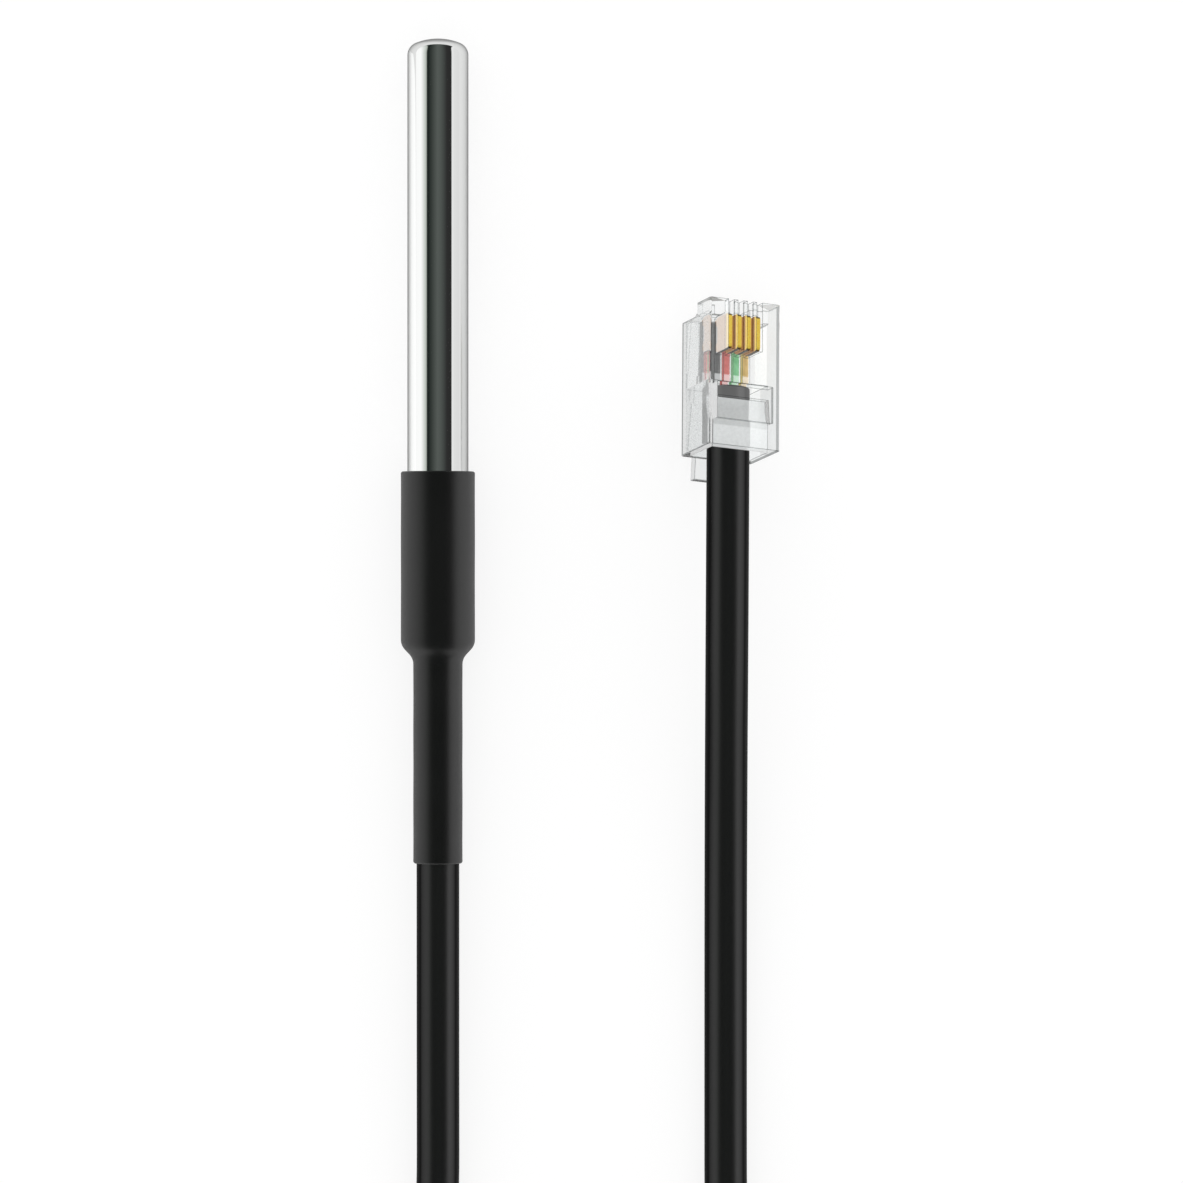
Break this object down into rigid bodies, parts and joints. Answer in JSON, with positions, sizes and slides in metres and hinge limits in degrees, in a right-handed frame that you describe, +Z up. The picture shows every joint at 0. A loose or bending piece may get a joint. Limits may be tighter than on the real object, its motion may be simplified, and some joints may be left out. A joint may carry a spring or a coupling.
{
  "type": "temperature sensor",
  "caption": "Steel probe temperature sensor: domed tube, stepped heat-shrink sleeve, round black lead folded in a hank, and a clear modular plug.",
  "frame": {"origin": "on the surface that the sensor lies on, under the middle of the probe from its domed tip to the far end of its sleeve", "axes": "+Y along the probe's axis towards its domed tip, +Z up, +X towards the plug's side"},
  "size_m": [0.0404, 0.2412, 0.012],
  "materials": {
    "polished_stainless": "polished stainless steel",
    "shrink_sleeve": "soft matte polyolefin heat-shrink",
    "hot_melt": "translucent hot-melt liner",
    "potting_resin": "cast epoxy resin",
    "moulding_black": "moulded epoxy package",
    "cable_jacket": "smooth glossy flexible jacket",
    "tie_black": "smooth nylon strap",
    "clear_plastic": "clear moulded polycarbonate",
    "tinned_copper": "tinned",
    "insulating_tube": "thin insulating tube",
    "gold_plate": "gold plated, polished",
    "wire_black": "extruded insulation",
    "wire_red": "extruded insulation",
    "wire_green": "extruded insulation",
    "wire_yellow": "extruded insulation"
  },
  "bodies": {
    "root": {"probe_tube": "polished_stainless", "outer_sleeve": "shrink_sleeve", "sleeve_adhesive": "hot_melt", "potting_fill": "potting_resin", "sensor_package": "moulding_black", "cable_probe_run": "cable_jacket", "cable_plug_run": "cable_jacket", "cable_hank": "cable_jacket", "hank_ties": "tie_black", "plug_housing": "clear_plastic", "sensor_lead_1": "tinned_copper", "joint_sleeve_1": "insulating_tube", "sensor_lead_2": "tinned_copper", "joint_sleeve_2": "insulating_tube", "sensor_lead_3": "tinned_copper", "joint_sleeve_3": "insulating_tube", "probe_wire_black": "wire_black", "probe_wire_yellow": "wire_yellow", "probe_wire_red": "wire_red", "contact_1": "gold_plate", "contact_2": "gold_plate", "contact_3": "gold_plate", "contact_4": "gold_plate", "plug_wire_black": "wire_black", "plug_wire_red": "wire_red", "plug_wire_green": "wire_green", "plug_wire_yellow": "wire_yellow"}
  },
  "joints": []
}
